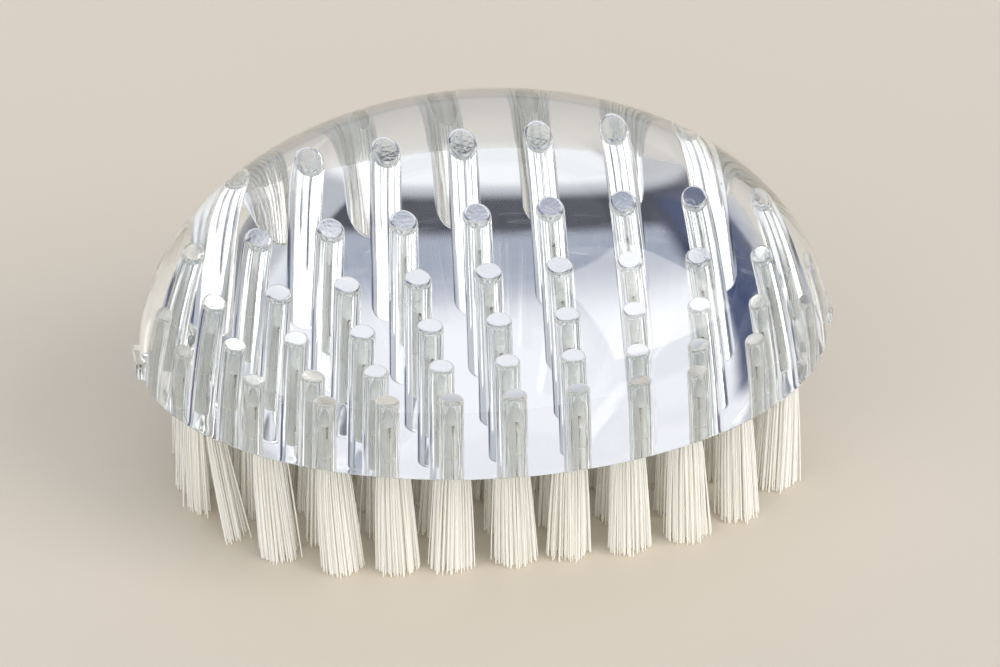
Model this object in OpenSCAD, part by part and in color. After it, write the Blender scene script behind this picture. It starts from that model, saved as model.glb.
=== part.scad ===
// Nail brush: a clear domed handle with seven rows of nylon tufts.
// The brush stands on the trimmed tips of its tufts, at z = 0.
// X runs along the handle, Y across it, and Z points up through the dome.

/* [Handle] */
// Length of the handle
handle_l = 90.8; // [80:0.1:110]
// Width of the handle
handle_w = 66.8; // [58:0.1:84]
// Height of the dome above the band
dome_h = 32.1; // [24:0.1:40]
// Height of the straight band round the underside
band_h = 1; // [0.4:0.1:3]
// Chamfer at the foot of the band
band_chamfer = 0.3; // [0.1:0.05:0.35]

/* [End lugs] */
// Width of the small lug at each end of the handle
lug_w = 4.9; // [3:0.1:7]
// Height of a lug, from the underside
lug_h = 2.4; // [1.6:0.1:4]
// How far a lug stands out from the end of the handle
lug_proud = 0.7; // [0.4:0.1:1.5]
// Rounding of the upright corners of a lug
lug_corner_r = 0.3; // [0.1:0.05:0.6]

/* [Tuft holes] */
// Bore of a tuft hole
hole_d = 3; // [2.6:0.1:3.4]
// Depth of a tuft hole, up to its flat end
hole_depth = 7; // [6:0.1:9]
// Rounding between the wall and the flat end of a hole
hole_end_r = 0.4; // [0.2:0.05:0.8]
// From the end of the handle to the nearest hole's centre
end_margin = 7.15; // [5:0.05:9]
// From the side of the handle to the outer row of holes
side_margin = 10.45; // [9:0.05:12]
// How far the ends of the two outer rows are drawn in from the edge
outer_row_bow = 1.6; // [0:0.1:2.5]

/* [Tufts] */
// Free length of a tuft, from the underside of the handle to the floor
tuft_l = 19; // [14:0.5:24]
// Least space between neighbouring tufts at their tips
tip_gap = 1.5; // [1:0.1:2.5]
// Space between a tuft's root and the wall of its hole, all round
root_clearance = 0.05; // [0.02:0.01:0.1]
// Height of the folded root inside its hole
root_h = 4.6; // [4:0.1:5.4]
// Thickness of a strand at the root
strand_d = 0.8; // [0.6:0.05:0.9]
// Thickness of a strand at its tip
strand_tip_d = 1; // [0.7:0.05:1.2]
// From the underside of the handle down to the bend in the fan
bend_drop = 5.5; // [3:0.5:8]
// Sideways scatter of the strands at their tips
tip_scatter = 0.2; // [0:0.05:0.35]
// Depth trimmed off the tips, so that the brush stands flat
trim = 0.5; // [0.3:0.1:1]

/* [Anchors] */
// Thickness of the anchor strip
anchor_t = 0.35; // [0.25:0.05:0.5]
// Height of the anchor strip
anchor_h = 1.4; // [1:0.1:1.8]
// Thickness of the fold that goes over the anchor
fold_t = 0.7; // [0.5:0.05:1]
// Space between an anchor and the fold round it
anchor_clearance = 0.03; // [0.02:0.01:0.06]

/* [Hidden] */

// Tufts in each row, from the front of the brush to the back
row_tufts = [7, 9, 11, 11, 11, 9, 7];
rows = len(row_tufts);
middle_row = (rows - 1) / 2;
pitch_x = (handle_l - 2 * end_margin) / (max(row_tufts) - 1);
pitch_y = (handle_w - 2 * side_margin) / (rows - 1);

// The underside of the handle
base_z = tuft_l;
root_d = hole_d - 2 * root_clearance;
root_top = base_z + root_h;
anchor_l = root_d;
anchor_z = root_top - fold_t - anchor_h;
anchor_end_r = anchor_t / 2;

// A tuft has one strand in the middle and a ring of six round it
ring_strands = 6;
strand_sides = 3;
ring_root_r = (root_d - strand_d) / 2 - root_clearance;
ring_tip_r = (min(pitch_x, pitch_y) - tip_gap - strand_tip_d) / 2 - tip_scatter;
// Each tuft has its own seed for the scatter of its strands, counted on from this one
first_seed = 1;
// Turn of the middle strand from one tuft to the next, in degrees
turn_step = 37;
// How much of its spread a strand has gained by the bend
bend_share = 0.62;
bend_z = base_z - bend_drop;
// Where the trim cuts a strand, between its bend and its untrimmed tip below the floor
trim_share = bend_z / (bend_z + trim);
// The strands start inside the root, this far above the underside
strand_sink = strand_d / 2;
cut = 1;
round_fn = 96;
hole_fn = 32;

function row_end_x(row) = (row_tufts[row] - 1) / 2 * pitch_x;

function is_outer(row) = row == 0 || row == rows - 1;

// Centres of the holes of one row, drawn in towards the middle at the ends of the outer rows
function hole_places(row) = [
  for (column = [0 : row_tufts[row] - 1])
    let (
      x = column * pitch_x - row_end_x(row),
      side = sign(row - middle_row),
      bow = is_outer(row) ? outer_row_bow * pow(x / row_end_x(row), 2) : 0
    )
      [x, (row - middle_row) * pitch_y - side * bow]
];

// One three-sided strand, as a skin of triangles between its rings from the root down to the tip
function strand_ring(centre, z, d, turn) = [
  for (side = [0 : strand_sides - 1])
    let (angle = turn + side * 360 / strand_sides)
      [centre[0] + d / 2 * cos(angle), centre[1] + d / 2 * sin(angle), z]
];

function skin_faces(rings) = concat(
  [[for (side = [0 : strand_sides - 1]) strand_sides - 1 - side]],
  [
    for (ring = [0 : rings - 2], side = [0 : strand_sides - 1], half = [0, 1])
      let (
        next = (side + 1) % strand_sides,
        a = ring * strand_sides + side,
        b = ring * strand_sides + next,
        c = a + strand_sides,
        d = b + strand_sides
      )
        half == 0 ? [a, b, c] : [b, d, c]
  ],
  [[for (side = [0 : strand_sides - 1]) (rings - 1) * strand_sides + side]]
);

function between(a, b, share) = a + (b - a) * share;

module strand(root, tip, turn) {
  bend = between(root, tip, bend_share);
  bend_d = between(strand_d, strand_tip_d, bend_share);
  rings = [
    strand_ring(root, base_z + strand_sink, strand_d, turn),
    strand_ring(bend, bend_z, bend_d, turn),
    strand_ring(between(bend, tip, trim_share), 0, between(bend_d, strand_tip_d, trim_share), turn)
  ];
  polyhedron(points = [for (ring = rings) each ring], faces = skin_faces(len(rings)));
}

// The folded root: filaments go over the anchor and down on both sides of it
module tuft_root() {
  difference() {
    intersection() {
      translate([0, 0, base_z]) cylinder(d = root_d, h = root_h, $fn = hole_fn);
      union() {
        translate([-root_d / 2, -root_d / 2, base_z - cut])
          cube([root_d, root_d, root_h - root_d / 2 + cut]);
        translate([0, root_d / 2, root_top - root_d / 2])
          rotate([90, 0, 0]) cylinder(d = root_d, h = root_d, $fn = hole_fn);
      }
    }
    translate([-anchor_t / 2 - anchor_clearance, -root_d / 2 - cut, anchor_z - anchor_clearance])
      cube([
        anchor_t + 2 * anchor_clearance,
        root_d + 2 * cut,
        anchor_h + 2 * anchor_clearance
      ]);
  }
}

module tuft(seed) {
  scatter = rands(-tip_scatter, tip_scatter, 2 * (ring_strands + 1), seed);
  tuft_root();
  strand([0, 0], [scatter[0], scatter[1]], seed * turn_step);
  for (i = [1 : ring_strands]) {
    angle = i * 360 / ring_strands + 360 / ring_strands / 2;
    out = [cos(angle), sin(angle)];
    strand(
      ring_root_r * out,
      ring_tip_r * out + [scatter[2 * i], scatter[2 * i + 1]],
      angle + 180
    );
  }
}

// A flat strip across the hole, standing on edge inside the fold
module anchor() {
  translate([-anchor_t / 2, -anchor_l / 2 + anchor_end_r, anchor_z])
    cube([anchor_t, anchor_l - 2 * anchor_end_r, anchor_h]);
  for (side = [-1, 1])
    translate([0, side * (anchor_l / 2 - anchor_end_r), anchor_z])
      cylinder(d = anchor_t, h = anchor_h, $fn = hole_fn);
}

module tuft_row(row) {
  places = hole_places(row);
  color("ivory")
    for (i = [0 : len(places) - 1])
      translate(places[i]) tuft(first_seed + row * max(row_tufts) + i);
}

module anchor_row(row) {
  color("silver")
    for (place = hole_places(row))
      translate(place) anchor();
}

// A blind hole with a flat end and a rounded shoulder, open below the underside
module hole() {
  translate([0, 0, -cut]) cylinder(d = hole_d, h = hole_depth - hole_end_r + cut, $fn = hole_fn);
  cylinder(d = hole_d - 2 * hole_end_r, h = hole_depth, $fn = hole_fn);
  translate([0, 0, hole_depth - hole_end_r])
    rotate_extrude($fn = hole_fn)
      translate([hole_d / 2 - hole_end_r, 0]) circle(r = hole_end_r, $fn = hole_fn);
}

module plan(h) {
  scale([handle_l / 2, handle_w / 2, 1]) cylinder(r = 1, h = h, $fn = round_fn);
}

// One bar along the middle of the handle, with rounded corners, which shows as a lug at each end
module lugs() {
  end_x = handle_l / 2 + lug_proud;
  inner_x = end_x - lug_corner_r;
  inner_y = lug_w / 2 - lug_corner_r;
  translate([-end_x, -inner_y, 0]) cube([2 * end_x, 2 * inner_y, lug_h]);
  translate([-inner_x, -lug_w / 2, 0]) cube([2 * inner_x, lug_w, lug_h]);
  for (x = [-inner_x, inner_x], y = [-inner_y, inner_y])
    translate([x, y, 0]) cylinder(r = lug_corner_r, h = lug_h, $fn = hole_fn);
}

module handle() {
  color("lightcyan", 0.35)
    translate([0, 0, base_z])
      difference() {
        union() {
          translate([0, 0, band_chamfer]) plan(band_h - band_chamfer);
          scale([handle_l / 2, handle_w / 2, 1])
            cylinder(
              r1 = 1 - band_chamfer / (handle_w / 2),
              r2 = 1,
              h = band_chamfer,
              $fn = round_fn
            );
          translate([0, 0, band_h])
            intersection() {
              scale([handle_l / 2, handle_w / 2, dome_h]) sphere(r = 1, $fn = round_fn);
              plan(dome_h + cut);
            }
          lugs();
        }
        for (row = [0 : rows - 1], place = hole_places(row))
          translate(place) hole();
      }
}

handle();
tuft_row(0);  // tuft_row_1
tuft_row(1);  // tuft_row_2
tuft_row(2);  // tuft_row_3
tuft_row(3);  // tuft_row_4
tuft_row(4);  // tuft_row_5
tuft_row(5);  // tuft_row_6
tuft_row(6);  // tuft_row_7
anchor_row(0);  // anchor_row_1
anchor_row(1);  // anchor_row_2
anchor_row(2);  // anchor_row_3
anchor_row(3);  // anchor_row_4
anchor_row(4);  // anchor_row_5
anchor_row(5);  // anchor_row_6
anchor_row(6);  // anchor_row_7
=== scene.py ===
"""Dresses a clear, domed nail brush: its handle, its nylon tufts and their metal anchors.

Lengths are in metres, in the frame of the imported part. The brush stands on the trimmed tips of its
tufts at z = 0. X runs along the handle, Y across it, away from the front row, and Z up through the dome.
"""

import logging
import math
from dataclasses import dataclass, field, fields
from enum import Enum

import bmesh
import bpy
from mathutils import Matrix, Vector
from mathutils.geometry import delaunay_2d_cdt


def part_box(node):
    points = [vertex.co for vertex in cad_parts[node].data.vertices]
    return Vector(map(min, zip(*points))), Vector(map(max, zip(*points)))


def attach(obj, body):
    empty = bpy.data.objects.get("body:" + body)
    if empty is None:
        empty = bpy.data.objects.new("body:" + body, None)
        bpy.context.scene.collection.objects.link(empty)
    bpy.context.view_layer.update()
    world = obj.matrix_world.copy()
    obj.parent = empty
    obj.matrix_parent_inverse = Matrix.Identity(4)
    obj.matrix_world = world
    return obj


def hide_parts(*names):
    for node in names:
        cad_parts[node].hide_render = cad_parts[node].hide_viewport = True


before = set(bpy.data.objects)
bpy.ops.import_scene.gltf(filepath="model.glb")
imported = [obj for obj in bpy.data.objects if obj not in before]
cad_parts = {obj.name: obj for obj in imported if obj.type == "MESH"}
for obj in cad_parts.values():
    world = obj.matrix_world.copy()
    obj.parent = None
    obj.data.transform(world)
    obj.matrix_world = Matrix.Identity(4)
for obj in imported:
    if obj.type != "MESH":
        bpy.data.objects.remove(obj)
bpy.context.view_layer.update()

MM = 0.001
BODY = "root"
IN_BORE = "in_bore"
TONE = "tone"
DEGREES = 180 / math.pi
LOG = logging.getLogger("nail_brush")

Colour = tuple[float, float, float, float]


class Slot(Enum):
    """The material slots of the part's record."""

    HANDLE = "handle_plastic"
    TUFT = "tuft_nylon"
    ANCHOR = "anchor_metal"


class Mixed(Enum):
    """What a Mix node mixes, as its data type and the ending of its sockets' identifiers."""

    COLOUR = ("RGBA", "Color")
    VECTOR = ("VECTOR", "Vector")


class Draw(Enum):
    """What is drawn at random for each filament, with the number that it adds to the tree's seed."""

    TIP_CUT = 1
    TIP_WEAR = 2
    TONE = 3
    LEFT_REACH = 10
    LEFT_STRAY = 11
    RIGHT_REACH = 20
    RIGHT_STRAY = 21


class NodeBench:
    """Adds nodes to one tree, from left to right, and joins them."""

    COLUMN = 180
    ROW = 160
    ROWS = 6

    def __init__(self, tree: bpy.types.NodeTree) -> None:
        """Starts on a tree.

        Args:
            tree: The tree that takes the nodes.
        """
        self.tree = tree
        self.count = 0

    def add(self, kind: str, **settings: object) -> bpy.types.Node:
        """Adds a node.

        Args:
            kind: The node's type name.
            settings: Values for the node's own properties.

        Returns:
            The new node.
        """
        node = self.tree.nodes.new(kind)
        for name, value in settings.items():
            setattr(node, name, value)
        column, row = divmod(self.count, self.ROWS)
        node.location = (column * self.COLUMN, -row * self.ROW)
        self.count += 1
        return node

    def feed(self, socket: bpy.types.NodeSocket, value: object) -> None:
        """Sets an input to a value, or links it.

        Args:
            socket: The input.
            value: A number, a colour, a vector or an output to link from.
        """
        if isinstance(value, bpy.types.NodeSocket):
            self.tree.links.new(value, socket)
        else:
            socket.default_value = value

    def math(self, operation: str, *values: object) -> bpy.types.NodeSocket:
        """Adds one step of arithmetic.

        Args:
            operation: The Math node's operation.
            values: Its inputs, as numbers or outputs.

        Returns:
            The result's socket.
        """
        node = self.add("ShaderNodeMath", operation=operation)
        for socket, value in zip(node.inputs, values):
            self.feed(socket, value)
        return node.outputs[0]

    def vector_math(self, operation: str, first: object, second: object) -> bpy.types.NodeSocket:
        """Adds one step of vector arithmetic.

        Args:
            operation: The Vector Math node's operation.
            first: Its first input.
            second: Its second input, which is the factor when the operation is SCALE.

        Returns:
            The resulting vector's socket.
        """
        node = self.add("ShaderNodeVectorMath", operation=operation)
        self.feed(node.inputs[0], first)
        self.feed(node.inputs["Scale" if operation == "SCALE" else 1], second)
        return node.outputs[0]

    def join_xyz(self, x: object, y: object, z: object) -> bpy.types.NodeSocket:
        """Makes a vector of three values.

        Args:
            x: The first part.
            y: The second part.
            z: The third part.

        Returns:
            The vector's socket.
        """
        node = self.add("ShaderNodeCombineXYZ")
        for socket, value in zip(node.inputs, (x, y, z)):
            self.feed(socket, value)
        return node.outputs[0]

    def split_xyz(self, vector: object) -> list[bpy.types.NodeSocket]:
        """Splits a vector.

        Args:
            vector: The vector's socket.

        Returns:
            The sockets of its x, y and z.
        """
        node = self.add("ShaderNodeSeparateXYZ")
        self.feed(node.inputs[0], vector)
        return list(node.outputs)

    def remap(self, value: object, start: tuple[float, float], end: tuple[float, float],
              smooth: bool = False) -> bpy.types.NodeSocket:
        """Maps one range onto another, and holds the value at the ends.

        Args:
            value: The value's socket.
            start: The range that it comes in.
            end: The range that it leaves in.
            smooth: Whether the change eases in and out.

        Returns:
            The mapped value's socket.
        """
        node = self.add("ShaderNodeMapRange", interpolation_type="SMOOTHSTEP" if smooth else "LINEAR")
        for socket, item in zip(node.inputs, (value, *start, *end)):
            self.feed(socket, item)
        return node.outputs[0]

    def mix(self, kind: Mixed, share: object, first: object, second: object,
            label: str = "") -> bpy.types.NodeSocket:
        """Mixes two colours or two vectors.

        Args:
            kind: What is mixed.
            share: How much of the second one shows, from 0 to 1.
            first: The first one.
            second: The second one.
            label: The node's label.

        Returns:
            The socket of the mixture.
        """
        data_type, ending = kind.value
        node = self.add("ShaderNodeMix", data_type=data_type, label=label)
        sockets = {socket.identifier: socket for socket in node.inputs}
        self.feed(sockets["Factor_Float"], share)
        self.feed(sockets[f"A_{ending}"], first)
        self.feed(sockets[f"B_{ending}"], second)
        return next(socket for socket in node.outputs if socket.identifier == f"Result_{ending}")

    def noise(self, vector: object, scale: float, detail: float) -> bpy.types.NodeSocket:
        """Adds a noise pattern.

        Args:
            vector: Where it is read.
            scale: Its scale.
            detail: Its octaves.

        Returns:
            The socket of its grey value.
        """
        node = self.add("ShaderNodeTexNoise")
        self.feed(node.inputs["Vector"], vector)
        node.inputs["Scale"].default_value = scale
        node.inputs["Detail"].default_value = detail
        return node.outputs[0]

    def stretched_object_coordinates(self, scale: tuple[float, float, float]) -> bpy.types.NodeSocket:
        """Reads Object coordinates through a Mapping node.

        Args:
            scale: The stretch along each axis.

        Returns:
            The mapped coordinates' socket.
        """
        source = self.add("ShaderNodeTexCoord")
        mapping = self.add("ShaderNodeMapping")
        self.feed(mapping.inputs["Vector"], source.outputs["Object"])
        mapping.inputs["Scale"].default_value = scale
        return mapping.outputs[0]

    def bump(self, height: object, strength: float, distance: float) -> bpy.types.NodeSocket:
        """Turns a height into a surface normal.

        Args:
            height: The height's socket.
            strength: How much of it shows.
            distance: The real height of its full range, in metres.

        Returns:
            The normal's socket.
        """
        node = self.add("ShaderNodeBump")
        node.inputs["Strength"].default_value = strength
        node.inputs["Distance"].default_value = distance
        self.feed(node.inputs["Height"], height)
        return node.outputs[0]


def new_material(name: str) -> tuple[bpy.types.Material, NodeBench, bpy.types.Node]:
    """Makes a material with one Principled shader.

    Args:
        name: The material's name.

    Returns:
        The material, a bench on its tree and the shader.
    """
    material = bpy.data.materials.new(name)
    material.use_nodes = True
    shader = material.node_tree.nodes["Principled BSDF"]
    return material, NodeBench(material.node_tree), shader


@dataclass(frozen=True)
class Grain:
    """A noise pattern, stretched along the axes of Object coordinates."""

    stretch: tuple[float, float, float]
    scale: float = 1.0
    detail: float = 2.0

    def read(self, bench: NodeBench) -> bpy.types.NodeSocket:
        """Adds the pattern to a tree.

        Args:
            bench: The bench on the tree.

        Returns:
            The socket of its grey value.
        """
        return bench.noise(bench.stretched_object_coordinates(self.stretch), self.scale, self.detail)


@dataclass(frozen=True)
class ClearPlastic:
    """Clear, polished plastic, with faint flow and wear on its skin and streaks in its bores."""

    tint: Colour = (0.965, 0.993, 0.996, 1.0)
    ior: float = 1.59
    polish: float = 0.004
    worn: float = 0.035
    scratches: Grain = Grain((90.0, 900.0, 400.0), scale=3.0, detail=4.0)
    scratch_range: tuple[float, float] = (0.60, 0.74)
    bore_rough: float = 0.11
    flow: Grain = Grain((60.0, 60.0, 25.0), scale=1.6)
    flow_depth: float = 0.006 * MM
    streaks: Grain = Grain((2600.0, 2600.0, 45.0))
    streak_depth: float = 0.024 * MM

    def make(self) -> bpy.types.Material:
        """Builds the material.

        Returns:
            The material.
        """
        material, bench, shader = new_material("clear_moulded_plastic")
        shader.inputs["Base Color"].default_value = self.tint
        shader.inputs["Transmission Weight"].default_value = 1.0
        shader.inputs["IOR"].default_value = self.ior

        in_bore = bench.add("ShaderNodeAttribute", attribute_name=IN_BORE).outputs["Fac"]
        wear = bench.remap(self.scratches.read(bench), self.scratch_range, (0.0, 1.0), smooth=True)
        skin_rough = bench.remap(wear, (0.0, 1.0), (self.polish, self.worn))
        bore_rough = bench.math("MULTIPLY", in_bore, self.bore_rough)
        bench.feed(shader.inputs["Roughness"], bench.math("ADD", skin_rough, bore_rough))

        flow = bench.math("MULTIPLY", self.flow.read(bench), self.flow_depth / MM)
        streaks = bench.math("MULTIPLY", self.streaks.read(bench), self.streak_depth / MM)
        height = bench.math("ADD", flow, bench.math("MULTIPLY", streaks, in_bore))
        bench.feed(shader.inputs["Normal"], bench.bump(height, 1.0, MM))
        return material


@dataclass(frozen=True)
class Nylon:
    """Ivory nylon filament, a little translucent, with its own tone for each filament."""

    light: Colour = (0.997, 0.993, 0.97, 1.0)
    shade: Colour = (0.988, 0.978, 0.94, 1.0)
    own_tone: float = 0.65
    patches: Grain = Grain((500.0, 500.0, 120.0))
    rough: tuple[float, float] = (0.52, 0.68)
    gloss: float = 0.22
    scatter_share: float = 0.08
    scatter_depth: float = 0.35 * MM
    scatter_spread: tuple[float, float, float] = (1.0, 0.9, 0.7)
    grooves: Grain = Grain((9000.0, 9000.0, 300.0))
    groove_range: tuple[float, float] = (0.2, 0.8)
    groove_strength: float = 0.5
    groove_depth: float = 0.001 * MM

    def make(self) -> bpy.types.Material:
        """Builds the material.

        Returns:
            The material.
        """
        material, bench, shader = new_material("ivory_nylon")
        tone = bench.add("ShaderNodeAttribute", attribute_name=TONE).outputs["Fac"]
        tone = bench.math("MULTIPLY", tone, self.own_tone)
        patches = bench.math("MULTIPLY", self.patches.read(bench), 1 - self.own_tone)
        colour = bench.mix(Mixed.COLOUR, bench.math("ADD", tone, patches), self.shade, self.light)
        bench.feed(shader.inputs["Base Color"], colour)
        shader.inputs["Specular IOR Level"].default_value = self.gloss
        shader.inputs["Subsurface Weight"].default_value = self.scatter_share
        shader.inputs["Subsurface Scale"].default_value = self.scatter_depth
        shader.inputs["Subsurface Radius"].default_value = self.scatter_spread
        grooves = self.grooves.read(bench)
        bench.feed(shader.inputs["Roughness"], bench.remap(grooves, self.groove_range, self.rough))
        normal = bench.bump(grooves, self.groove_strength, self.groove_depth)
        bench.feed(shader.inputs["Normal"], normal)
        return material


@dataclass(frozen=True)
class AnchorMetal:
    """Rolled metal strip, cut to length, with fine rolling lines and dull spots."""

    bright: Colour = (0.62, 0.60, 0.56, 1.0)
    dull: Colour = (0.40, 0.38, 0.35, 1.0)
    spots: Grain = Grain((900.0, 900.0, 900.0), detail=3.0)
    spot_range: tuple[float, float] = (0.35, 0.65)
    rough: tuple[float, float] = (0.26, 0.46)
    lines: Grain = Grain((300.0, 300.0, 14000.0))
    line_range: tuple[float, float] = (0.3, 0.7)
    line_strength: float = 0.6
    line_depth: float = 0.004 * MM

    def make(self) -> bpy.types.Material:
        """Builds the material.

        Returns:
            The material.
        """
        material, bench, shader = new_material("rolled_anchor_strip")
        shader.inputs["Metallic"].default_value = 1.0
        spots = bench.remap(self.spots.read(bench), self.spot_range, (0.0, 1.0))
        colour = bench.mix(Mixed.COLOUR, spots, self.dull, self.bright)
        bench.feed(shader.inputs["Base Color"], colour)
        lines = self.lines.read(bench)
        bench.feed(shader.inputs["Roughness"], bench.remap(lines, self.line_range, self.rough))
        bench.feed(shader.inputs["Normal"], bench.bump(lines, self.line_strength, self.line_depth))
        return material


@dataclass(frozen=True)
class PaleBoard:
    """The plain pale floor under the brush."""

    colour: Colour = (0.73, 0.66, 0.56, 1.0)
    rough: float = 0.55

    def make(self) -> bpy.types.Material:
        """Builds the material.

        Returns:
            The material.
        """
        material, _, shader = new_material("pale_floor")
        shader.inputs["Base Color"].default_value = self.colour
        shader.inputs["Roughness"].default_value = self.rough
        return material


@dataclass(frozen=True)
class TuftPlan:
    """The grid of the tufts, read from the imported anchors, and the size of their bores."""

    row_tufts: tuple[int, ...] = (7, 9, 11, 11, 11, 9, 7)
    bore_radius: float = 1.5 * MM

    @property
    def rows(self) -> range:
        """The numbers of the rows, from the front one, which is 1."""
        return range(1, len(self.row_tufts) + 1)

    @property
    def pitch(self) -> float:
        """The distance from one tuft to the next along a row."""
        middle = len(self.row_tufts) // 2
        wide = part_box(f"anchor_row_{middle + 1}")[1].x
        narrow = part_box("anchor_row_1")[1].x
        return (wide - narrow) / ((self.row_tufts[middle] - self.row_tufts[0]) / 2)

    @property
    def strip_length(self) -> float:
        """The length of one anchor, across the handle."""
        low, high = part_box("anchor_row_2")
        return high.y - low.y

    def places(self, row: int) -> list[Vector]:
        """Finds the tufts of one row.

        Args:
            row: The row's number.

        Returns:
            The middle of each tuft, from left to right, at z = 0.
        """
        low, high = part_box(f"anchor_row_{row}")
        side = -1 if row <= len(self.row_tufts) // 2 else 1
        bow = high.y - low.y - self.strip_length
        middle = low.y + self.strip_length / 2 if side < 0 else high.y - self.strip_length / 2
        count = self.row_tufts[row - 1]
        end = (count - 1) / 2
        places = []
        for column in range(count):
            steps = column - end
            places.append(Vector((steps * self.pitch, middle - side * bow * (steps / end) ** 2, 0.0)))
        return places


def link_piece(name: str, mesh: bpy.types.Mesh, replaced: str) -> bpy.types.Object:
    """Puts a finished mesh in the scene, on its body and in place of its solid.

    Args:
        name: The piece's name.
        mesh: Its mesh, already in place.
        replaced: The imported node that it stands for.

    Returns:
        The piece.
    """
    piece = bpy.data.objects.new(name, mesh)
    bpy.context.scene.collection.objects.link(piece)
    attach(piece, BODY)
    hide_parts(replaced)
    return piece


@dataclass
class ClearHandle:
    """The solid dome, with its band, rounded rim, end lugs and the blind bores in its underside."""

    plan: TuftPlan
    band_height: float = 1.0 * MM
    rim_round: float = 0.3 * MM
    lug_width: float = 4.9 * MM
    lug_height: float = 2.4 * MM
    lug_proud: float = 0.7 * MM
    lug_round: float = 0.3 * MM
    bore_depth: float = 7.0 * MM
    shoulder_radius: float = 0.4 * MM
    around: int = 256
    rings: int = 84
    rim_steps: int = 4
    lug_rings: int = 3
    lug_columns: int = 3
    bore_sides: int = 40
    shoulder_steps: int = 5
    crease: float = math.radians(35)
    low: Vector = field(init=False)
    high: Vector = field(init=False)

    # How the underside is filled: only inside its edge and outside the mouths of the bores
    INSIDE_WITH_HOLES = 2
    SAME_POINT = 1e-12

    def __post_init__(self) -> None:
        """Reads the handle's box."""
        self.low, self.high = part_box("handle")

    @property
    def semi_axes(self) -> Vector:
        """Half the oval's length, half its width and the dome's rise above the band."""
        rise = self.high.z - self.low.z - self.band_height
        return Vector((self.high.x - self.lug_proud, self.high.y, rise))

    @staticmethod
    def _through(count: int, stop: int, value: float, end: float) -> list[float]:
        """Spaces values from zero so that one of them is exact.

        Args:
            count: The number of steps to the end.
            stop: The number of the step that is exact.
            value: The exact value.
            end: The last value.

        Returns:
            The values, evenly spaced before the exact one and after it.
        """
        first = [value * k / stop for k in range(stop)]
        rest = [value + (end - value) * k / (count - stop) for k in range(count - stop + 1)]
        return first + rest

    def _turns(self) -> list[float]:
        """The angles of the columns round the oval, with one at each corner of the lugs."""
        corner = math.asin(self.lug_width / 2 / self.semi_axes.y)
        quarter = self._through(self.around // 4, self.lug_columns, corner, math.pi / 2)
        half = quarter + [math.pi - turn for turn in reversed(quarter[:-1])]
        return half[:-1] + [turn + math.pi for turn in half[:-1]]

    def _outer_rings(self) -> list[list[Vector]]:
        """The rings of the skin, from the underside's edge up to the dome's last ring."""
        across, deep, rise = self.semi_axes
        turns = self._turns()
        rings = []
        for step in range(self.rim_steps + 1):
            angle = math.pi / 2 * step / self.rim_steps
            inset = self.rim_round * (1 - math.sin(angle))
            z = self.low.z + self.rim_round * (1 - math.cos(angle))
            rings.append([
                Vector(((across - inset) * math.cos(turn), (deep - inset) * math.sin(turn), z))
                for turn in turns
            ])
        foot = self.low.z + self.band_height
        lug_angle = math.asin((self.lug_height - self.band_height) / rise)
        for angle in self._through(self.rings, self.lug_rings, lug_angle, math.pi / 2)[:-1]:
            shrink, z = math.cos(angle), foot + rise * math.sin(angle)
            rings.append([
                Vector((across * shrink * math.cos(turn), deep * shrink * math.sin(turn), z))
                for turn in turns
            ])
        return rings

    def _window(self, outer: list[list], middle: int) -> list:
        """Finds the edge of the place where a lug leaves the dome.

        Args:
            outer: The rings of the skin.
            middle: The column at the lug's middle.

        Returns:
            The vertices round the window, from one foot corner along the underside and over the top.
        """
        top = self.rim_steps + 1 + self.lug_rings
        columns = [(middle + k) % self.around for k in range(-self.lug_columns, self.lug_columns + 1)]
        foot = [outer[0][column] for column in columns]
        rising = [outer[ring][columns[-1]] for ring in range(1, top)]
        above = [outer[top][column] for column in reversed(columns)]
        falling = [outer[ring][columns[0]] for ring in range(top - 1, 0, -1)]
        return foot + rising + above + falling

    def _lug(self, skin: bmesh.types.BMesh, window: list, side: int) -> list[bmesh.types.BMFace]:
        """Builds one lug out from its window, with rounded outer edges.

        Args:
            skin: The mesh that takes the faces.
            window: The vertices round its window.
            side: The end that it is on, as 1 or -1.

        Returns:
            The flat face at its end, and the faces that continue the underside.
        """
        half, middle_z = self.lug_width / 2, self.low.z + self.lug_height / 2
        previous = window
        walls = []
        for step in range(self.shoulder_steps + 1):
            angle = math.pi / 2 * step / self.shoulder_steps
            inset = self.lug_round * (1 - math.cos(angle))
            x = side * (self.high.x - self.lug_round * (1 - math.sin(angle)))
            shrink_y, shrink_z = 1 - inset / half, 1 - inset / (self.lug_height / 2)
            ring = [
                skin.verts.new((x, v.co.y * shrink_y, middle_z + (v.co.z - middle_z) * shrink_z))
                for v in window
            ]
            walls.append(self._bridge(skin, previous, ring))
            previous = ring
        return [skin.faces.new(previous)] + walls[0][:2 * self.lug_columns]

    def _bore_profile(self) -> list[tuple[float, float]]:
        """The radius and height of each ring of a bore, from its mouth to its flat end."""
        end = self.low.z + self.bore_depth
        radius = self.plan.bore_radius
        inner = radius - self.shoulder_radius
        profile = [(radius, self.low.z), (radius, end - self.shoulder_radius)]
        for step in range(1, self.shoulder_steps + 1):
            angle = math.pi / 2 * step / self.shoulder_steps
            profile.append((
                inner + self.shoulder_radius * math.cos(angle),
                end - self.shoulder_radius * (1 - math.sin(angle)),
            ))
        return profile

    @staticmethod
    def _bridge(skin: bmesh.types.BMesh, first: list, second: list,
                left_open: set[int] = frozenset()) -> list[bmesh.types.BMFace]:
        """Joins two rings with a strip of faces.

        Args:
            skin: The mesh that takes the faces.
            first: The lower ring's vertices.
            second: The upper ring's vertices.
            left_open: The columns that get no face.

        Returns:
            The new faces.
        """
        count = len(first)
        return [
            skin.faces.new((first[k], first[(k + 1) % count], second[(k + 1) % count], second[k]))
            for k in range(count) if k not in left_open
        ]

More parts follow.
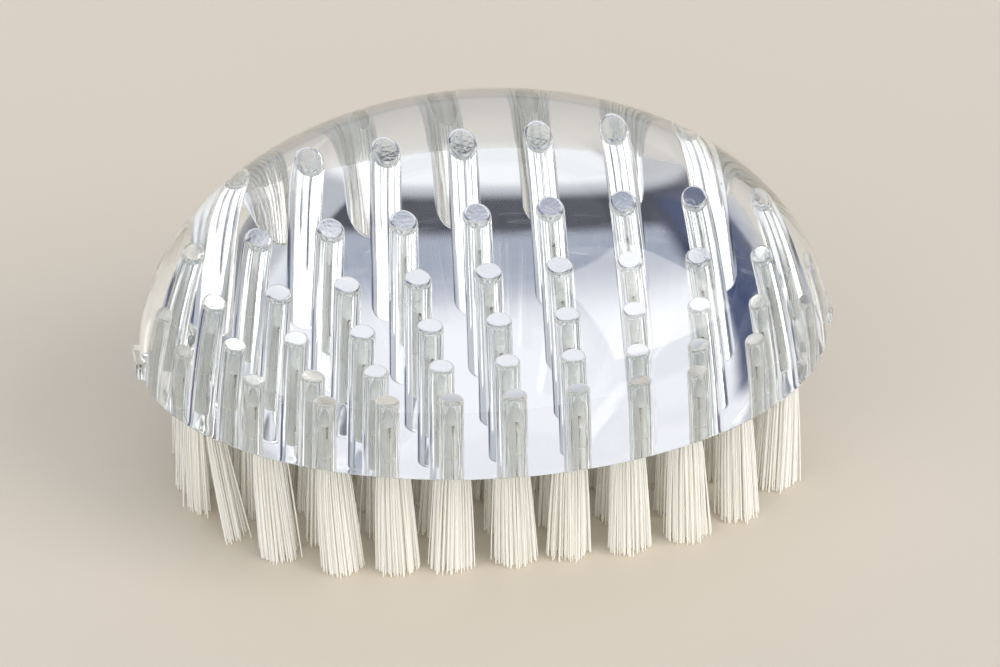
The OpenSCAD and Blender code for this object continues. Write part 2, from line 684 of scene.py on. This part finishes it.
    def _bore(self, skin: bmesh.types.BMesh, place: Vector,
              in_bore: bmesh.types.BMLayerItem) -> tuple[list, bmesh.types.BMFace]:
        """Builds the wall, the shoulder and the flat end of one bore.

        Args:
            skin: The mesh that takes the faces.
            place: The bore's middle.
            in_bore: The layer that marks its faces.

        Returns:
            The vertices round its mouth, and the face of its flat end.
        """
        rings = []
        for radius, z in self._bore_profile():
            ring = []
            for k in range(self.bore_sides):
                turn = 2 * math.pi * k / self.bore_sides
                offset = Vector((radius * math.cos(turn), radius * math.sin(turn), z))
                ring.append(skin.verts.new(place + offset))
            rings.append(ring)
        walls = [self._bridge(skin, first, second) for first, second in zip(rings, rings[1:])]
        end = skin.faces.new(rings[-1])
        for face in sum(walls, [end]):
            face[in_bore] = 1.0
        return rings[0], end

    def _fill_underside(self, skin: bmesh.types.BMesh, loops: list[list]) -> list[bmesh.types.BMFace]:
        """Fills the flat underside between its edge and the mouths of the bores.

        Args:
            skin: The mesh that takes the faces.
            loops: The outer edge's vertices, then those of each mouth.

        Returns:
            The new faces.
        """
        corners = [vertex for loop in loops for vertex in loop]
        owners = [number for number, loop in enumerate(loops) for _ in loop]
        edges = []
        start = 0
        for loop in loops:
            edges += [(start + k, start + (k + 1) % len(loop)) for k in range(len(loop))]
            start += len(loop)
        flat = [Vector((vertex.co.x, vertex.co.y)) for vertex in corners]
        filled = delaunay_2d_cdt(flat, edges, [], self.INSIDE_WITH_HOLES, self.SAME_POINT)
        faces, sources = filled[2], filled[3]
        made = []
        for face in faces:
            found = [sources[k][0] for k in reversed(face)]
            touched = {owners[k] for k in found}
            if touched == {0} or len(touched) > 1:
                made.append(skin.faces.new([corners[k] for k in found]))
        return made

    def build(self) -> bpy.types.Mesh:
        """Builds the closed skin of the handle.

        Returns:
            The mesh, with an attribute that is 1 on the faces of the bores and 0 elsewhere.
        """
        skin = bmesh.new()
        in_bore = skin.faces.layers.float.new(IN_BORE)
        outer = [[skin.verts.new(point) for point in ring] for ring in self._outer_rings()]
        lug_top = self.rim_steps + 1 + self.lug_rings
        ends = {1: 0, -1: self.around // 2}
        behind_lugs = {
            (middle + k) % self.around for middle in ends.values()
            for k in range(-self.lug_columns, self.lug_columns)
        }
        for ring, (first, second) in enumerate(zip(outer, outer[1:])):
            self._bridge(skin, first, second, behind_lugs if ring < lug_top else set())
        top = skin.verts.new((0.0, 0.0, self.high.z))
        last = outer[-1]
        for k, vertex in enumerate(last):
            skin.faces.new((vertex, last[(k + 1) % len(last)], top))

        loops = [outer[0]]
        flats = [
            face for side, middle in ends.items()
            for face in self._lug(skin, self._window(outer, middle), side)
        ]
        for row in self.plan.rows:
            for place in self.plan.places(row):
                mouth, end = self._bore(skin, place, in_bore)
                loops.append(mouth)
                flats.append(end)
        flats = set(flats + self._fill_underside(skin, loops))
        for face in skin.faces:
            face.smooth = True
        bmesh.ops.recalc_face_normals(skin, faces=skin.faces)
        for edge in skin.edges:
            beside_flat = {face in flats for face in edge.link_faces} == {True, False}
            edge.smooth = not beside_flat and edge.calc_face_angle() < self.crease
        mesh = bpy.data.meshes.new("clear_handle")
        skin.to_mesh(mesh)
        skin.free()
        return mesh

    def dress(self, finish: ClearPlastic) -> bpy.types.Object:
        """Builds the handle and gives it its finish.

        Args:
            finish: The clear plastic.

        Returns:
            The piece.
        """
        mesh = self.build()
        mesh.materials.append(finish.make())
        return link_piece("clear_handle", mesh, "handle")


@dataclass(frozen=True)
class FilamentSizes:
    """The lengths and shares that shape all filaments, each of which is an input of their tree."""

    filament_diameter: float = 0.19 * MM
    settling_length: float = 3.0 * MM
    closing_length: float = 0.7 * MM
    tip_scatter: float = 0.36 * MM
    clump_width: float = 1.0 * MM
    clump_shift: float = 1.0 * MM
    ragged_length: float = 0.7 * MM
    tip_lift: float = 0.03 * MM
    early_flare: float = 0.62
    late_flare: float = 0.48
    flare_across: float = 0.65
    fold_rise: float = 0.40
    stray_share: float = 0.045
    stray_reach: float = 3.6

    def by_input(self) -> dict[str, float]:
        """Lists the sizes under the names of the tree's inputs."""
        names = [item.name for item in fields(self)]
        return {name.replace("_", " ").title(): getattr(self, name) for name in names}


@dataclass
class FilamentTree:
    """The node tree that grows folded filaments over an anchor and down out of a bore."""

    sizes: FilamentSizes
    fold_share: float = 0.28
    points: int = 19
    sides: int = 5
    tree: bpy.types.NodeTree = field(init=False)
    bench: NodeBench = field(init=False)
    inputs: bpy.types.NodeOutputs = field(init=False)

    PLACE_INPUTS = ("Fold Height", "Mouth Height", "Gap Half Width", "Bundle Radius")
    # Where the clumps of one tuft and of its second leg are read in the noise
    TUFT_STEP = 937.0
    SIDE_STEP = 5.3
    # How closely the points of a leg gather near the fold
    LEG_POWER = 1.3
    # How the sideways reach and the lean grow from the mouth of the bore down to the tip
    SHUFFLE_POWER = 0.6
    LEAN_POWER = 1.35
    # A face that points down more than this is a cut tip, which stays flat
    TIP_NORMAL = -0.9

    def __post_init__(self) -> None:
        """Builds the tree."""
        self.tree = bpy.data.node_groups.new("folded_filaments", "GeometryNodeTree")
        self.bench = NodeBench(self.tree)
        face = self.tree.interface
        face.new_socket("Geometry", in_out="INPUT", socket_type="NodeSocketGeometry")
        for name in (*self.PLACE_INPUTS, *self.sizes.by_input()):
            face.new_socket(name, in_out="INPUT", socket_type="NodeSocketFloat")
        face.new_socket("Seed", in_out="INPUT", socket_type="NodeSocketInt")
        face.new_socket("Material", in_out="INPUT", socket_type="NodeSocketMaterial")
        face.new_socket("Geometry", in_out="OUTPUT", socket_type="NodeSocketGeometry")
        self._grow()

    def socket_id(self, name: str) -> str:
        """Finds the identifier of an input.

        Args:
            name: The input's name.

        Returns:
            The identifier that a modifier keeps its value under.
        """
        items = self.tree.interface.items_tree
        return next(item.identifier for item in items if item.name == name and item.in_out == "INPUT")

    def _random(self, draw: Draw, low: object = 0.0, high: object = 1.0,
                vector: bool = False) -> bpy.types.NodeSocket:
        """Adds a random value for each filament.

        Args:
            draw: What is drawn, so that each use has a seed of its own.
            low: The least value.
            high: The greatest value.
            vector: Whether the value is a vector.

        Returns:
            The value's socket.
        """
        node = self.bench.add("FunctionNodeRandomValue", data_type="FLOAT_VECTOR" if vector else "FLOAT")
        inputs = {socket.name: socket for socket in node.inputs if socket.enabled}
        self.bench.feed(inputs["Min"], low)
        self.bench.feed(inputs["Max"], high)
        seed = self.bench.math("ADD", self.inputs["Seed"], float(draw.value))
        self.bench.feed(inputs["Seed"], seed)
        return next(socket for socket in node.outputs if socket.enabled)

    def _attribute(self, name: str, kind: str) -> bpy.types.NodeSocket:
        """Reads an attribute of the points that the filaments grow from.

        Args:
            name: The attribute's name.
            kind: Its data type.

        Returns:
            The socket of its value.
        """
        node = self.bench.add("GeometryNodeInputNamedAttribute", data_type=kind)
        node.inputs["Name"].default_value = name
        return next(out for out in node.outputs if out.enabled and out.name == "Attribute")

    def _capture(self, geometry: bpy.types.NodeSocket,
                 values: dict[str, tuple[str, object]]) -> tuple[bpy.types.NodeSocket, dict]:
        """Keeps values on the points, so that they can be read along each filament.

        Args:
            geometry: The points.
            values: The name, the type and the socket of each value.

        Returns:
            The points, and the kept values' sockets by name.
        """
        node = self.bench.add("GeometryNodeCaptureAttribute", domain="POINT")
        self.bench.feed(node.inputs["Geometry"], geometry)
        for name, (kind, _) in values.items():
            node.capture_items.new(kind, name)
        for name, (_, source) in values.items():
            self.bench.feed(node.inputs[name], source)
        return node.outputs["Geometry"], {name: node.outputs[name] for name in values}

    def _scatter(self, reach: Draw, stray: Draw) -> bpy.types.NodeSocket:
        """Adds a random sideways reach for one end of each filament, longer on a few strays.

        Args:
            reach: The draw of the reach.
            stray: The draw that tells the strays.

        Returns:
            The reach's socket.
        """
        bench = self.bench
        spread = self._random(reach, (-1.0, -1.0, 0.0), (1.0, 1.0, 0.0), vector=True)
        is_stray = bench.math("LESS_THAN", self._random(stray), self.inputs["Stray Share"])
        extra = bench.math("MULTIPLY", is_stray, self.inputs["Stray Reach"])
        size = bench.math("MULTIPLY", bench.math("ADD", extra, 1.0), self.inputs["Tip Scatter"])
        return bench.vector_math("SCALE", spread, size)

    def _along(self) -> tuple[bpy.types.NodeSocket, bpy.types.NodeSocket, bpy.types.NodeSocket]:
        """Reads how far a point is along its filament.

        Returns:
            The side of the fold it is on, the angle of its quarter turn over the fold, and the share of
            the straight leg.
        """
        bench = self.bench
        factor = bench.add("GeometryNodeSplineParameter").outputs["Factor"]
        signed = bench.math("MULTIPLY_ADD", factor, 2.0, -1.0)
        side = bench.math("SIGN", signed)
        reach = bench.math("ABSOLUTE", signed)
        turn = bench.remap(reach, (0.0, self.fold_share), (0.0, math.pi / 2))
        leg = bench.remap(reach, (self.fold_share, 1.0), (0.0, 1.0))
        return side, turn, leg

    def _approach(self, reach: bpy.types.NodeSocket) -> bpy.types.NodeSocket:
        """Rises from 0 towards 1, fast at first and then ever slower.

        Args:
            reach: How far it has come, where 1 is nearly two thirds of the way.

        Returns:
            The share's socket.
        """
        left = self.bench.math("EXPONENT", self.bench.math("MULTIPLY", reach, -1.0))
        return self.bench.math("SUBTRACT", 1.0, left)

    def _closed(self, x: bpy.types.NodeSocket,
                below_fold: bpy.types.NodeSocket) -> bpy.types.NodeSocket:
        """Draws the two legs of the fold together below the anchor, until the tuft has no gap in it.

        Args:
            x: The leg's distance from the tuft's middle, beside the anchor.
            below_fold: How far the point is below the fold.

        Returns:
            The distance's socket.
        """
        bench, sizes = self.bench, self.inputs
        span = bench.math("SUBTRACT", sizes["Bundle Radius"], sizes["Gap Half Width"])
        pull = bench.math("DIVIDE", bench.math("SUBTRACT", sizes["Bundle Radius"], x), span)
        reach = bench.math("DIVIDE", below_fold, sizes["Closing Length"])
        amount = self._approach(bench.math("POWER", reach, 2.0))
        shift = bench.math("MULTIPLY", bench.math("MULTIPLY", pull, amount), sizes["Gap Half Width"])
        return bench.math("SUBTRACT", x, shift)

    def _of_leg(self, side: bpy.types.NodeSocket, left: bpy.types.NodeSocket,
                right: bpy.types.NodeSocket) -> bpy.types.NodeSocket:
        """Picks the vector that belongs to the leg that a point is on.

        Args:
            side: The side of the fold that the point is on, as 1 or -1.
            left: The left leg's vector.
            right: The right leg's vector.

        Returns:
            The picked vector's socket.
        """
        is_right = self.bench.math("GREATER_THAN", side, 0.0)
        return self.bench.mix(Mixed.VECTOR, is_right, left, right)

    def _clump(self, kept: dict, side: bpy.types.NodeSocket) -> bpy.types.NodeSocket:
        """Moves neighbouring filaments of a leg the same way, so that the tips part in clumps.

        Args:
            kept: The values kept on the points.
            side: The side of the fold that the point is on.

        Returns:
            The shift's socket.
        """
        bench, sizes = self.bench, self.inputs
        width = sizes["Clump Width"]
        place = bench.vector_math("DIVIDE", kept["Offset"], bench.join_xyz(width, width, width))
        tuft = bench.vector_math("SCALE", kept["Middle"], self.TUFT_STEP)
        leg = bench.join_xyz(0.0, 0.0, bench.math("MULTIPLY", side, self.SIDE_STEP))
        where = bench.vector_math("ADD", bench.vector_math("ADD", place, tuft), leg)
        noise = bench.add("ShaderNodeTexNoise")
        bench.feed(noise.inputs["Vector"], where)
        noise.inputs["Scale"].default_value = 1.0
        noise.inputs["Detail"].default_value = 0.0
        centred = bench.vector_math("SUBTRACT", noise.outputs["Color"], (0.5, 0.5, 0.5))
        return bench.vector_math("SCALE", centred, sizes["Clump Shift"])

    def _position(self, kept: dict) -> bpy.types.NodeSocket:
        """Works out where each point of a filament lies.

        Args:
            kept: The values kept on the points.

        Returns:
            The position's socket.
        """
        bench, sizes = self.bench, self.inputs
        side, turn, leg = self._along()
        x0, y0, _ = bench.split_xyz(kept["Offset"])
        fold_z, mouth_z = sizes["Fold Height"], sizes["Mouth Height"]
        radius = bench.math("DIVIDE", sizes["Filament Diameter"], 2.0)
        drop = bench.math("SUBTRACT", fold_z, kept["Tip Height"])
        down = bench.math("MULTIPLY", drop, bench.math("POWER", leg, self.LEG_POWER))
        leg_z = bench.math("SUBTRACT", fold_z, down)
        rise = bench.math("MULTIPLY_ADD", x0, sizes["Fold Rise"], radius)
        z = bench.math("MULTIPLY_ADD", rise, bench.math("COSINE", turn), leg_z)
        x0 = self._closed(x0, bench.math("SUBTRACT", fold_z, leg_z))

        depth = bench.math("MAXIMUM", bench.math("SUBTRACT", mouth_z, leg_z), 0.0)
        settled = self._approach(bench.math("DIVIDE", depth, sizes["Settling Length"]))
        share = bench.math("DIVIDE", depth, mouth_z)
        flare = bench.math("MULTIPLY_ADD", settled, sizes["Early Flare"],
                           bench.math("MULTIPLY", share, sizes["Late Flare"]))
        spread_x = bench.math("ADD", flare, 1.0)
        spread_y = bench.math("MULTIPLY_ADD", flare, sizes["Flare Across"], 1.0)
        x = bench.math("MULTIPLY", bench.math("MULTIPLY", side, x0), bench.math("SINE", turn))
        x = bench.math("MULTIPLY", x, spread_x)
        y = bench.math("MULTIPLY", y0, spread_y)

        reach = self._of_leg(side, kept["Left Reach"], kept["Right Reach"])
        lean = self._of_leg(side, kept["Left Lean"], kept["Right Lean"])
        shuffled = bench.vector_math("SCALE", reach, bench.math("POWER", share, self.SHUFFLE_POWER))
        clump_x, clump_y, _ = bench.split_xyz(self._clump(kept, side))
        pull = bench.vector_math("ADD", lean, bench.join_xyz(clump_x, clump_y, 0.0))
        bent = bench.vector_math("SCALE", pull, bench.math("POWER", share, self.LEAN_POWER))
        sideways = bench.vector_math("ADD", shuffled, bent)
        shape = bench.vector_math("ADD", bench.join_xyz(x, y, z), sideways)
        return bench.vector_math("ADD", kept["Middle"], shape)

    def _grow(self) -> None:
        """Joins the tree, from the points to the finished filaments."""
        bench = self.bench
        self.inputs = bench.add("NodeGroupInput").outputs
        tip = bench.math("MULTIPLY", self._random(Draw.TIP_CUT), self._random(Draw.TIP_WEAR))
        tip = bench.math("MULTIPLY_ADD", tip, self.inputs["Ragged Length"], self.inputs["Tip Lift"])
        geometry, kept = self._capture(self.inputs["Geometry"], {
            "Middle": ("VECTOR", bench.add("GeometryNodeInputPosition").outputs[0]),
            "Offset": ("VECTOR", self._attribute("offset", "FLOAT_VECTOR")),
            "Left Lean": ("VECTOR", self._attribute("left_lean", "FLOAT_VECTOR")),
            "Right Lean": ("VECTOR", self._attribute("right_lean", "FLOAT_VECTOR")),
            "Left Reach": ("VECTOR", self._scatter(Draw.LEFT_REACH, Draw.LEFT_STRAY)),
            "Right Reach": ("VECTOR", self._scatter(Draw.RIGHT_REACH, Draw.RIGHT_STRAY)),
            "Tip Height": ("FLOAT", tip),
            "Tone": ("FLOAT", self._random(Draw.TONE)),
        })
        line = bench.add("GeometryNodeCurvePrimitiveLine")
        evenly = bench.add("GeometryNodeResampleCurve")
        bench.feed(evenly.inputs["Curve"], line.outputs[0])
        evenly.inputs["Count"].default_value = self.points
        copies = bench.add("GeometryNodeInstanceOnPoints")
        bench.feed(copies.inputs["Points"], geometry)
        bench.feed(copies.inputs["Instance"], evenly.outputs[0])
        real = bench.add("GeometryNodeRealizeInstances")
        bench.feed(real.inputs[0], copies.outputs[0])
        placed = bench.add("GeometryNodeSetPosition")
        bench.feed(placed.inputs["Geometry"], real.outputs[0])
        bench.feed(placed.inputs["Position"], self._position(kept))

        ring = bench.add("GeometryNodeCurvePrimitiveCircle", mode="RADIUS")
        ring.inputs["Resolution"].default_value = self.sides
        bench.feed(ring.inputs["Radius"], bench.math("DIVIDE", self.inputs["Filament Diameter"], 2.0))
        tubes = bench.add("GeometryNodeCurveToMesh")
        bench.feed(tubes.inputs["Curve"], placed.outputs[0])
        bench.feed(tubes.inputs["Profile Curve"], ring.outputs[0])
        tubes.inputs["Fill Caps"].default_value = True

        normal_z = bench.split_xyz(bench.add("GeometryNodeInputNormal").outputs[0])[2]
        smooth = bench.add("GeometryNodeSetShadeSmooth")
        bench.feed(smooth.inputs["Geometry"], tubes.outputs[0])
        not_tip = bench.math("GREATER_THAN", normal_z, self.TIP_NORMAL)
        bench.feed(smooth.inputs["Shade Smooth"], not_tip)
        toned = bench.add("GeometryNodeStoreNamedAttribute", data_type="FLOAT", domain="POINT")
        bench.feed(toned.inputs["Geometry"], smooth.outputs[0])
        toned.inputs["Name"].default_value = TONE
        bench.feed(next(s for s in toned.inputs if s.name == "Value" and s.enabled), kept["Tone"])
        joined = bench.add("GeometryNodeRealizeInstances")
        bench.feed(joined.inputs[0], toned.outputs[0])
        finished = bench.add("GeometryNodeSetMaterial")
        bench.feed(finished.inputs["Geometry"], joined.outputs[0])
        bench.feed(finished.inputs["Material"], self.inputs["Material"])
        bench.feed(bench.add("NodeGroupOutput").inputs[0], finished.outputs[0])


@dataclass(frozen=True)
class Lean:
    """How far the tips of one tuft's two legs stand to the side, along X and Y."""

    row: int
    column: int
    left: tuple[float, float]
    right: tuple[float, float] | None = None

    @property
    def of_right(self) -> tuple[float, float]:
        """The right leg's lean, which is the left leg's where the tuft isn't parted."""
        return self.left if self.right is None else self.right


@dataclass
class Tufts:
    """The rows of nylon tufts, each folded over its anchor and pushed into its bore."""

    plan: TuftPlan
    sizes: FilamentSizes = FilamentSizes()
    packing: float = 0.19 * MM
    wall_gap: float = 0.02 * MM
    strip_half: float = 0.175 * MM
    seed: int = 7
    usual_lean: float = 0.35 * MM
    lean_turn: float = 2.4
    lean_ratio: float = 2.1
    leans: tuple[Lean, ...] = (
        Lean(1, 0, (1.1 * MM, -0.6 * MM)),
        Lean(1, 1, (0.5 * MM, -0.8 * MM)),
        Lean(1, 2, (-0.4 * MM, -0.8 * MM)),
        Lean(1, 3, (0.4 * MM, -0.4 * MM)),
        Lean(1, 6, (0.6 * MM, 0.0)),
        Lean(2, 0, (0.9 * MM, -2.2 * MM)),
        Lean(2, 8, (0.2 * MM, -2.0 * MM)),
        Lean(3, 10, (-1.3 * MM, -3.2 * MM)),
        Lean(3, 0, (1.0 * MM, 2.8 * MM), (2.1 * MM, -4.3 * MM)),
    )

    @property
    def bundle_radius(self) -> float:
        """How far the middle of the outermost filament is from the middle of the bore."""
        return self.plan.bore_radius - self.sizes.filament_diameter / 2 - self.wall_gap

    def _packed(self) -> list[Vector]:
        """Packs the filaments of one tuft side by side in the half of the bore right of the anchor.

        Returns:
            The place of each filament's right leg, from the bore's middle.
        """
        limit = self.bundle_radius
        places = []
        x = self.strip_half + self.sizes.filament_diameter / 2 + self.wall_gap
        column = 0
        while x < limit:
            half = math.sqrt(limit**2 - x**2)
            shift = self.packing / 2 * (column % 2)
            steps = math.ceil(half / self.packing)
            for k in range(-steps, steps + 1):
                y = k * self.packing + shift
                if abs(y) <= half:
                    places.append(Vector((x, y, 0.0)))
            x += self.packing * math.sqrt(3) / 2
            column += 1
        return places

    def _lean(self, row: int, column: int) -> Lean:
        """Finds how far the tips of one tuft lean.

        Args:
            row: The row's number.
            column: The tuft's number in it.

        Returns:
            The lean of its legs.
        """
        for lean in self.leans:
            if (lean.row, lean.column) == (row, column):
                return lean
        turn = self.lean_turn * (row * max(self.plan.row_tufts) + column)
        tips = (self.usual_lean * math.cos(turn), self.usual_lean * math.sin(self.lean_ratio * turn))
        return Lean(row, column, tips)

    def _seeds(self, row: int) -> bpy.types.Object:
        """Makes the points that the filaments of one row grow from.

        Args:
            row: The row's number.

        Returns:
            An object with a vertex for each filament.
        """
        packed = self._packed()
        middles = []
        kept = {"offset": [], "left_lean": [], "right_lean": []}
        for column, place in enumerate(self.plan.places(row)):
            lean = self._lean(row, column)
            for offset in packed:
                middles.append(place)
                kept["offset"].append(offset)
                kept["left_lean"].append((*lean.left, 0.0))
                kept["right_lean"].append((*lean.of_right, 0.0))
        mesh = bpy.data.meshes.new(f"row_{row}_seeds")
        mesh.from_pydata(middles, [], [])
        for name, values in kept.items():
            layer = mesh.attributes.new(name, "FLOAT_VECTOR", "POINT")
            layer.data.foreach_set("vector", [part for value in values for part in value])
        seeds = bpy.data.objects.new(f"row_{row}_seeds", mesh)
        bpy.context.scene.collection.objects.link(seeds)
        return seeds

    def dress_row(self, row: int, tree: FilamentTree, nylon: bpy.types.Material) -> bpy.types.Object:
        """Grows one row of tufts.

        Args:
            row: The row's number.
            tree: The tree that grows the filaments.
            nylon: Their material.

        Returns:
            The piece.
        """
        seeds = self._seeds(row)
        grower = seeds.modifiers.new("filaments", "NODES")
        grower.node_group = tree.tree
        values = {
            **self.sizes.by_input(),
            "Fold Height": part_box(f"anchor_row_{row}")[1].z,
            "Mouth Height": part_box("handle")[0].z,
            "Gap Half Width": self.strip_half + self.wall_gap,
            "Bundle Radius": self.bundle_radius,
            "Seed": self.seed * row,
            "Material": nylon,
        }
        for name, value in values.items():
            grower[tree.socket_id(name)] = value
        graph = bpy.context.evaluated_depsgraph_get()
        mesh = bpy.data.meshes.new_from_object(seeds.evaluated_get(graph))
        mesh.name = f"nylon_row_{row}"
        bpy.data.objects.remove(seeds)
        return link_piece(mesh.name, mesh, f"tuft_row_{row}")

    def dress(self, finish: Nylon) -> list[bpy.types.Object]:
        """Grows all the rows and gives them their finish.

        Args:
            finish: The nylon.

        Returns:
            The pieces, from the front row to the back one.
        """
        tree = FilamentTree(self.sizes)
        nylon = finish.make()
        return [self.dress_row(row, tree, nylon) for row in self.plan.rows]


@dataclass
class Anchors:
    """The metal strips in the folds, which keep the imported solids' own shape."""

    plan: TuftPlan

    def dress(self, finish: AnchorMetal) -> list[bpy.types.Object]:
        """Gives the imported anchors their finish.

        Args:
            finish: The rolled strip.

        Returns:
            The anchors' objects.
        """
        metal = finish.make()
        pieces = [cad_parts[f"anchor_row_{row}"] for row in self.plan.rows]
        for piece in pieces:
            piece.data.materials.clear()
            piece.data.materials.append(metal)
        return pieces


@dataclass(frozen=True)
class Panel:
    """One card or softbox of the surround, given by the directions that it fills, in degrees."""

    name: str
    azimuths: tuple[float, float]
    elevations: tuple[float, float]
    colour: Colour
    softness: float

    def _within(self, bench: NodeBench, angle: object,
                ends: tuple[float, float]) -> bpy.types.NodeSocket:
        """Tells how far an angle is inside a range.

        Args:
            bench: The bench on the world's tree.
            angle: The angle's socket.
            ends: The range.

        Returns:
            The socket of a value that is 1 inside, 0 outside and soft at the ends.
        """
        soft = self.softness / 2
        after = bench.remap(angle, (ends[0] - soft, ends[0] + soft), (0.0, 1.0), smooth=True)
        before = bench.remap(angle, (ends[1] - soft, ends[1] + soft), (1.0, 0.0), smooth=True)
        return bench.math("MULTIPLY", after, before)

    def lay(self, bench: NodeBench, azimuth: object, elevation: object,
            below: object) -> bpy.types.NodeSocket:
        """Lays the panel over what the surround shows so far.

        Args:
            bench: The bench on the world's tree.
            azimuth: The direction's angle from +Y towards +X.
            elevation: The direction's height over the horizon.
            below: The colour under the panel.

        Returns:
            The colour's socket.
        """
        inside = bench.math("MULTIPLY", self._within(bench, azimuth, self.azimuths),
                            self._within(bench, elevation, self.elevations))
        return bench.mix(Mixed.COLOUR, inside, below, self.colour, self.name)


@dataclass
class Studio:
    """The pale floor, the soft light all round and the camera."""

    floor_half: float = 4.0
    floor_gap: float = 0.02 * MM
    azimuth: float = math.radians(-8.7)
    elevation: float = math.radians(31.4)
    roll: float = math.radians(-0.1)
    distance: float = 800 * MM
    target: tuple[float, float, float] = (-0.1 * MM, -14.4 * MM, 29.0 * MM)
    frame_width: float = 128.4 * MM
    sensor: float = 36.0
    nearest: float = 0.01
    crossings: int = 40
    diffuse_steps: int = 30
    glossy_steps: int = 20
    surround: Colour = (0.50, 0.52, 0.57, 1.0)
    panels: tuple[Panel, ...] = (
        Panel("screen", (-36, 52), (3, 49), (0.87, 0.87, 0.93, 1.0), 6),
        Panel("ceiling", (-181, 181), (60, 91), (0.96, 0.97, 1.0, 1.0), 3),
        Panel("grey_ceiling", (-70, -30), (58, 72), (0.50, 0.50, 0.53, 1.0), 8),
        Panel("fading_gap", (-64, 46), (38, 54), (0.36, 0.39, 0.48, 1.0), 12),
        Panel("gap", (-64, 46), (49.5, 57.5), (0.02, 0.025, 0.05, 1.0), 3),
        Panel("gap_step", (-50, -26), (40, 52), (0.05, 0.06, 0.11, 1.0), 6),
        Panel("left_card", (-57, -31), (11, 55), (0.05, 0.07, 0.16, 1.0), 5),
        Panel("right_card", (62, 98), (-10, 46), (0.10, 0.12, 0.18, 1.0), 5),
        Panel("front_fill_left", (-181, -112), (-20, 50), (1.50, 1.50, 1.46, 1.0), 6),
        Panel("front_fill_right", (150, 181), (-20, 50), (1.50, 1.50, 1.46, 1.0), 6),
        Panel("key", (103, 147), (15, 56), (3.6, 3.5, 3.35, 1.0), 2),
    )

    def lay_floor(self, finish: PaleBoard) -> bpy.types.Object:
        """Lays the floor under the tips.

        Args:
            finish: The floor's finish.

        Returns:
            The floor.
        """
        half, z = self.floor_half, -self.floor_gap
        mesh = bpy.data.meshes.new("pale_floor")
        corners = [(-half, -half, z), (half, -half, z), (half, half, z), (-half, half, z)]
        mesh.from_pydata(corners, [], [(0, 1, 2, 3)])
        mesh.materials.append(finish.make())
        floor = bpy.data.objects.new("pale_floor", mesh)
        bpy.context.scene.collection.objects.link(floor)
        return floor

    def light(self) -> None:
        """Lights the brush from a soft surround, with bright panels and dark cards in it."""
        world = bpy.data.worlds.new("soft_surround")
        bpy.context.scene.world = world
        world.use_nodes = True
        bench = NodeBench(world.node_tree)
        background = world.node_tree.nodes["Background"]
        x, y, z = bench.split_xyz(bench.add("ShaderNodeTexCoord").outputs["Generated"])
        azimuth = bench.math("MULTIPLY", bench.math("ARCTAN2", x, y), DEGREES)
        elevation = bench.math("MULTIPLY", bench.math("ARCSINE", z), DEGREES)
        colour = self.surround
        for panel in self.panels:
            colour = panel.lay(bench, azimuth, elevation, colour)
        bench.feed(background.inputs["Color"], colour)
        background.inputs["Strength"].default_value = 1.0

    def place_camera(self) -> bpy.types.Object:
        """Puts the camera at the photograph's viewing angle.

        Returns:
            The camera.
        """
        back = Vector((
            math.sin(self.azimuth) * math.cos(self.elevation),
            -math.cos(self.azimuth) * math.cos(self.elevation),
            math.sin(self.elevation),
        ))
        level = Vector((math.cos(self.azimuth), math.sin(self.azimuth), 0.0))
        upright = back.cross(level)
        right = math.cos(self.roll) * level + math.sin(self.roll) * upright
        up = math.cos(self.roll) * upright - math.sin(self.roll) * level
        eye = Vector(self.target) + back * self.distance
        lens = bpy.data.cameras.new("camera")
        lens.sensor_width = self.sensor
        lens.lens = self.sensor * self.distance / self.frame_width
        lens.clip_start = self.nearest
        camera = bpy.data.objects.new("camera", lens)
        bpy.context.scene.collection.objects.link(camera)
        camera.matrix_world = Matrix((
            (right.x, up.x, back.x, eye.x),
            (right.y, up.y, back.y, eye.y),
            (right.z, up.z, back.z, eye.z),
            (0.0, 0.0, 0.0, 1.0),
        ))
        bpy.context.scene.camera = camera
        return camera

    def set_up(self) -> None:
        """Builds the stage and sets how light is followed through the clear handle."""
        self.lay_floor(PaleBoard())
        self.light()
        self.place_camera()
        scene = bpy.context.scene
        scene.view_settings.view_transform = "Standard"
        scene.cycles.max_bounces = self.crossings
        scene.cycles.transmission_bounces = self.crossings
        scene.cycles.diffuse_bounces = self.diffuse_steps
        scene.cycles.glossy_bounces = self.glossy_steps


def main() -> None:
    """Builds the brush and its stage, and reports each piece."""
    logging.basicConfig(level=logging.INFO, format="%(name)s: %(message)s")
    plan = TuftPlan()
    pieces = [ClearHandle(plan).dress(ClearPlastic())]
    pieces += Tufts(plan).dress(Nylon())
    pieces += Anchors(plan).dress(AnchorMetal())
    Studio().set_up()
    for piece in pieces:
        LOG.info("%s: %d faces", piece.name, len(piece.data.polygons))


if __name__ == "__main__":
    main()
